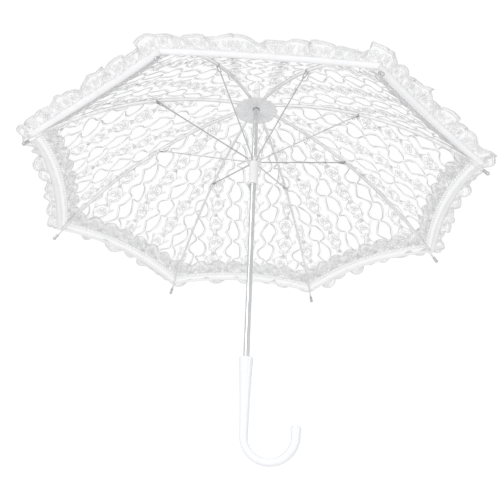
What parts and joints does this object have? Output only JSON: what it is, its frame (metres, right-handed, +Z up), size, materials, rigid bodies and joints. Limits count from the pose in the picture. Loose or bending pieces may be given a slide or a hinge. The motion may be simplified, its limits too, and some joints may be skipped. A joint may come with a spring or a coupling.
{
  "type": "parasol",
  "caption": "Open lace parasol: scalloped ruffled canopy on curved ribs with stretchers and a sliding runner on a chromed shaft with a white hooked handle.",
  "frame": {"origin": "on the shaft's axis at the middle of the handle's straight grip, where a hand holds it", "axes": "+Z up the shaft towards the ferrule; +X is the way the hook of the handle opens; +Y completes a right-handed frame"},
  "size_m": [0.8, 0.8, 0.7241],
  "materials": {
    "handle_plastic": "glossy white moulded plastic",
    "hub_plastic": "satin white moulded plastic",
    "shaft_chrome": "bright plated steel tube",
    "spring_steel": "darkened steel",
    "rib_steel": "light plated steel channel",
    "tip_metal": "small plated balls",
    "lace_fabric": "white warp-knit lace",
    "trim_fabric": "white pleated trim fabric"
  },
  "bodies": {
    "shaft": {"shaft_tube": "shaft_chrome", "handle": "handle_plastic", "ferrule": "hub_plastic", "top_notch": "hub_plastic", "notch_wire": "spring_steel", "canopy_cap": "trim_fabric", "inner_rosette": "trim_fabric"},
    "runner": {"runner": "hub_plastic", "runner_wire": "spring_steel"},
    "top_catch": {"top_catch": "spring_steel"},
    "bottom_catch": {"bottom_catch": "spring_steel"},
    "rib_1": {"rib_1": "rib_steel", "rib_tip_1": "tip_metal", "rivet_1": "spring_steel"},
    "stretcher_1": {"stretcher_1": "spring_steel"},
    "rib_2": {"rib_2": "rib_steel", "rib_tip_2": "tip_metal", "rivet_2": "spring_steel"},
    "stretcher_2": {"stretcher_2": "spring_steel"},
    "rib_3": {"rib_3": "rib_steel", "rib_tip_3": "tip_metal", "rivet_3": "spring_steel"},
    "stretcher_3": {"stretcher_3": "spring_steel"},
    "rib_4": {"rib_4": "rib_steel", "rib_tip_4": "tip_metal", "rivet_4": "spring_steel"},
    "stretcher_4": {"stretcher_4": "spring_steel"},
    "rib_5": {"rib_5": "rib_steel", "rib_tip_5": "tip_metal", "rivet_5": "spring_steel"},
    "stretcher_5": {"stretcher_5": "spring_steel"},
    "rib_6": {"rib_6": "rib_steel", "rib_tip_6": "tip_metal", "rivet_6": "spring_steel"},
    "stretcher_6": {"stretcher_6": "spring_steel"},
    "rib_7": {"rib_7": "rib_steel", "rib_tip_7": "tip_metal", "rivet_7": "spring_steel"},
    "stretcher_7": {"stretcher_7": "spring_steel"},
    "rib_8": {"rib_8": "rib_steel", "rib_tip_8": "tip_metal", "rivet_8": "spring_steel"},
    "stretcher_8": {"stretcher_8": "spring_steel"},
    "gore_1_left": {"gore_1_left": "lace_fabric"},
    "gore_1_right": {"gore_1_right": "lace_fabric"},
    "gore_2_left": {"gore_2_left": "lace_fabric"},
    "gore_2_right": {"gore_2_right": "lace_fabric"},
    "gore_3_left": {"gore_3_left": "lace_fabric"},
    "gore_3_right": {"gore_3_right": "lace_fabric"},
    "gore_4_left": {"gore_4_left": "lace_fabric"},
    "gore_4_right": {"gore_4_right": "lace_fabric"},
    "gore_5_left": {"gore_5_left": "lace_fabric"},
    "gore_5_right": {"gore_5_right": "lace_fabric"},
    "gore_6_left": {"gore_6_left": "lace_fabric"},
    "gore_6_right": {"gore_6_right": "lace_fabric"},
    "gore_7_left": {"gore_7_left": "lace_fabric"},
    "gore_7_right": {"gore_7_right": "lace_fabric"},
    "gore_8_left": {"gore_8_left": "lace_fabric"},
    "gore_8_right": {"gore_8_right": "lace_fabric"}
  },
  "joints": [
    {"name": "runner_slide", "type": "slide", "parent": "shaft", "child": "runner", "axis": [0, 0, 1], "range_m": [-0.25618, 0], "deforming": ["inner_rosette", "top_catch", "bottom_catch"]},
    {"name": "top_catch_press", "type": "slide", "parent": "shaft", "child": "top_catch", "axis": [1, 0, 0], "range_m": [0, 0.0037], "stiffness_N_per_m": 400},
    {"name": "bottom_catch_press", "type": "slide", "parent": "shaft", "child": "bottom_catch", "axis": [0, -1, 0], "range_m": [0, 0.0037], "stiffness_N_per_m": 400},
    {"name": "rib_1_hinge", "type": "hinge", "parent": "shaft", "child": "rib_1", "pos_m": [0.0079, 0.00431, 0.563], "axis": [-0.4787, 0.878, 0], "range_deg": [0, 59.05]},
    {"name": "stretcher_1_hinge", "type": "hinge", "parent": "rib_1", "child": "stretcher_1", "pos_m": [0.16969, 0.09252, 0.50143], "axis": [-0.4787, 0.878, 0], "range_deg": [-118.1, 0]},
    {"name": "rib_2_hinge", "type": "hinge", "parent": "shaft", "child": "rib_2", "pos_m": [0.00254, 0.00863, 0.563], "axis": [-0.9593, 0.2823, 0], "range_deg": [0, 59.05]},
    {"name": "stretcher_2_hinge", "type": "hinge", "parent": "rib_2", "child": "stretcher_2", "pos_m": [0.05457, 0.18541, 0.50143], "axis": [-0.9593, 0.2823, 0], "range_deg": [-118.1, 0]},
    {"name": "rib_3_hinge", "type": "hinge", "parent": "shaft", "child": "rib_3", "pos_m": [-0.00431, 0.0079, 0.563], "axis": [-0.878, -0.4787, 0], "range_deg": [0, 59.05]},
    {"name": "stretcher_3_hinge", "type": "hinge", "parent": "rib_3", "child": "stretcher_3", "pos_m": [-0.09252, 0.16969, 0.50143], "axis": [-0.878, -0.4787, 0], "range_deg": [-118.1, 0]},
    {"name": "rib_4_hinge", "type": "hinge", "parent": "shaft", "child": "rib_4", "pos_m": [-0.00863, 0.00254, 0.563], "axis": [-0.2823, -0.9593, 0], "range_deg": [0, 59.05]},
    {"name": "stretcher_4_hinge", "type": "hinge", "parent": "rib_4", "child": "stretcher_4", "pos_m": [-0.18541, 0.05457, 0.50143], "axis": [-0.2823, -0.9593, 0], "range_deg": [-118.1, 0]},
    {"name": "rib_5_hinge", "type": "hinge", "parent": "shaft", "child": "rib_5", "pos_m": [-0.0079, -0.00431, 0.563], "axis": [0.4787, -0.878, 0], "range_deg": [0, 59.05]},
    {"name": "stretcher_5_hinge", "type": "hinge", "parent": "rib_5", "child": "stretcher_5", "pos_m": [-0.16969, -0.09252, 0.50143], "axis": [0.4787, -0.878, 0], "range_deg": [-118.1, 0]},
    {"name": "rib_6_hinge", "type": "hinge", "parent": "shaft", "child": "rib_6", "pos_m": [-0.00254, -0.00863, 0.563], "axis": [0.9593, -0.2823, 0], "range_deg": [0, 59.05]},
    {"name": "stretcher_6_hinge", "type": "hinge", "parent": "rib_6", "child": "stretcher_6", "pos_m": [-0.05457, -0.18541, 0.50143], "axis": [0.9593, -0.2823, 0], "range_deg": [-118.1, 0]},
    {"name": "rib_7_hinge", "type": "hinge", "parent": "shaft", "child": "rib_7", "pos_m": [0.00431, -0.0079, 0.563], "axis": [0.878, 0.4787, 0], "range_deg": [0, 59.05]},
    {"name": "stretcher_7_hinge", "type": "hinge", "parent": "rib_7", "child": "stretcher_7", "pos_m": [0.09252, -0.16969, 0.50143], "axis": [0.878, 0.4787, 0], "range_deg": [-118.1, 0]},
    {"name": "rib_8_hinge", "type": "hinge", "parent": "shaft", "child": "rib_8", "pos_m": [0.00863, -0.00254, 0.563], "axis": [0.2823, 0.9593, 0], "range_deg": [0, 59.05]},
    {"name": "stretcher_8_hinge", "type": "hinge", "parent": "rib_8", "child": "stretcher_8", "pos_m": [0.18541, -0.05457, 0.50143], "axis": [0.2823, 0.9593, 0], "range_deg": [-118.1, 0]},
    {"name": "gore_1_left_fold", "type": "hinge", "parent": "rib_1", "child": "gore_1_left", "pos_m": [0.00612, 0.00758, 0.563], "axis": [-0.2335, -0.903, -0.3606], "range_deg": [0, 23.67], "deforming": ["gore_1_left"]},
    {"name": "gore_1_right_fold", "type": "hinge", "parent": "rib_2", "child": "gore_1_right", "pos_m": [0.00612, 0.00758, 0.563], "axis": [0.8333, 0.419, 0.3606], "range_deg": [0, 23.67], "deforming": ["gore_1_right"]},
    {"name": "gore_2_left_fold", "type": "hinge", "parent": "rib_2", "child": "gore_2_left", "pos_m": [-0.00103, 0.00969, 0.563], "axis": [0.4735, -0.8036, -0.3606], "range_deg": [0, 23.67], "deforming": ["gore_2_left"]},
    {"name": "gore_2_right_fold", "type": "hinge", "parent": "rib_3", "child": "gore_2_right", "pos_m": [-0.00103, 0.00969, 0.563], "axis": [0.2929, 0.8855, 0.3606], "range_deg": [0, 23.67], "deforming": ["gore_2_right"]},
    {"name": "gore_3_left_fold", "type": "hinge", "parent": "rib_3", "child": "gore_3_left", "pos_m": [-0.00758, 0.00612, 0.563], "axis": [0.903, -0.2335, -0.3606], "range_deg": [0, 23.67], "deforming": ["gore_3_left"]},
    {"name": "gore_3_right_fold", "type": "hinge", "parent": "rib_4", "child": "gore_3_right", "pos_m": [-0.00758, 0.00612, 0.563], "axis": [-0.419, 0.8333, 0.3606], "range_deg": [0, 23.67], "deforming": ["gore_3_right"]},
    {"name": "gore_4_left_fold", "type": "hinge", "parent": "rib_4", "child": "gore_4_left", "pos_m": [-0.00969, -0.00103, 0.563], "axis": [0.8036, 0.4735, -0.3606], "range_deg": [0, 23.67], "deforming": ["gore_4_left"]},
    {"name": "gore_4_right_fold", "type": "hinge", "parent": "rib_5", "child": "gore_4_right", "pos_m": [-0.00969, -0.00103, 0.563], "axis": [-0.8855, 0.2929, 0.3606], "range_deg": [0, 23.67], "deforming": ["gore_4_right"]},
    {"name": "gore_5_left_fold", "type": "hinge", "parent": "rib_5", "child": "gore_5_left", "pos_m": [-0.00612, -0.00758, 0.563], "axis": [0.2335, 0.903, -0.3606], "range_deg": [0, 23.67], "deforming": ["gore_5_left"]},
    {"name": "gore_5_right_fold", "type": "hinge", "parent": "rib_6", "child": "gore_5_right", "pos_m": [-0.00612, -0.00758, 0.563], "axis": [-0.8333, -0.419, 0.3606], "range_deg": [0, 23.67], "deforming": ["gore_5_right"]},
    {"name": "gore_6_left_fold", "type": "hinge", "parent": "rib_6", "child": "gore_6_left", "pos_m": [0.00103, -0.00969, 0.563], "axis": [-0.4735, 0.8036, -0.3606], "range_deg": [0, 23.67], "deforming": ["gore_6_left"]},
    {"name": "gore_6_right_fold", "type": "hinge", "parent": "rib_7", "child": "gore_6_right", "pos_m": [0.00103, -0.00969, 0.563], "axis": [-0.2929, -0.8855, 0.3606], "range_deg": [0, 23.67], "deforming": ["gore_6_right"]},
    {"name": "gore_7_left_fold", "type": "hinge", "parent": "rib_7", "child": "gore_7_left", "pos_m": [0.00758, -0.00612, 0.563], "axis": [-0.903, 0.2335, -0.3606], "range_deg": [0, 23.67], "deforming": ["gore_7_left"]},
    {"name": "gore_7_right_fold", "type": "hinge", "parent": "rib_8", "child": "gore_7_right", "pos_m": [0.00758, -0.00612, 0.563], "axis": [0.419, -0.8333, 0.3606], "range_deg": [0, 23.67], "deforming": ["gore_7_right"]},
    {"name": "gore_8_left_fold", "type": "hinge", "parent": "rib_8", "child": "gore_8_left", "pos_m": [0.00969, 0.00103, 0.563], "axis": [-0.8036, -0.4735, -0.3606], "range_deg": [0, 23.67], "deforming": ["gore_8_left"]},
    {"name": "gore_8_right_fold", "type": "hinge", "parent": "rib_1", "child": "gore_8_right", "pos_m": [0.00969, 0.00103, 0.563], "axis": [0.8855, -0.2929, 0.3606], "range_deg": [0, 23.67], "deforming": ["gore_8_right"]}
  ],
  "couplings": [
    {"joint": "rib_1_hinge", "follows": "runner_slide", "rad_per_m": -4.0196},
    {"joint": "stretcher_1_hinge", "follows": "runner_slide", "rad_per_m": 8.0392},
    {"joint": "rib_2_hinge", "follows": "runner_slide", "rad_per_m": -4.0196},
    {"joint": "stretcher_2_hinge", "follows": "runner_slide", "rad_per_m": 8.0392},
    {"joint": "rib_3_hinge", "follows": "runner_slide", "rad_per_m": -4.0196},
    {"joint": "stretcher_3_hinge", "follows": "runner_slide", "rad_per_m": 8.0392},
    {"joint": "rib_4_hinge", "follows": "runner_slide", "rad_per_m": -4.0196},
    {"joint": "stretcher_4_hinge", "follows": "runner_slide", "rad_per_m": 8.0392},
    {"joint": "rib_5_hinge", "follows": "runner_slide", "rad_per_m": -4.0196},
    {"joint": "stretcher_5_hinge", "follows": "runner_slide", "rad_per_m": 8.0392},
    {"joint": "rib_6_hinge", "follows": "runner_slide", "rad_per_m": -4.0196},
    {"joint": "stretcher_6_hinge", "follows": "runner_slide", "rad_per_m": 8.0392},
    {"joint": "rib_7_hinge", "follows": "runner_slide", "rad_per_m": -4.0196},
    {"joint": "stretcher_7_hinge", "follows": "runner_slide", "rad_per_m": 8.0392},
    {"joint": "rib_8_hinge", "follows": "runner_slide", "rad_per_m": -4.0196},
    {"joint": "stretcher_8_hinge", "follows": "runner_slide", "rad_per_m": 8.0392},
    {"joint": "gore_1_left_fold", "follows": "runner_slide", "rad_per_m": -1.6056},
    {"joint": "gore_1_right_fold", "follows": "runner_slide", "rad_per_m": -1.6056},
    {"joint": "gore_2_left_fold", "follows": "runner_slide", "rad_per_m": -1.6056},
    {"joint": "gore_2_right_fold", "follows": "runner_slide", "rad_per_m": -1.6056},
    {"joint": "gore_3_left_fold", "follows": "runner_slide", "rad_per_m": -1.6056},
    {"joint": "gore_3_right_fold", "follows": "runner_slide", "rad_per_m": -1.6056},
    {"joint": "gore_4_left_fold", "follows": "runner_slide", "rad_per_m": -1.6056},
    {"joint": "gore_4_right_fold", "follows": "runner_slide", "rad_per_m": -1.6056},
    {"joint": "gore_5_left_fold", "follows": "runner_slide", "rad_per_m": -1.6056},
    {"joint": "gore_5_right_fold", "follows": "runner_slide", "rad_per_m": -1.6056},
    {"joint": "gore_6_left_fold", "follows": "runner_slide", "rad_per_m": -1.6056},
    {"joint": "gore_6_right_fold", "follows": "runner_slide", "rad_per_m": -1.6056},
    {"joint": "gore_7_left_fold", "follows": "runner_slide", "rad_per_m": -1.6056},
    {"joint": "gore_7_right_fold", "follows": "runner_slide", "rad_per_m": -1.6056},
    {"joint": "gore_8_left_fold", "follows": "runner_slide", "rad_per_m": -1.6056},
    {"joint": "gore_8_right_fold", "follows": "runner_slide", "rad_per_m": -1.6056}
  ]
}
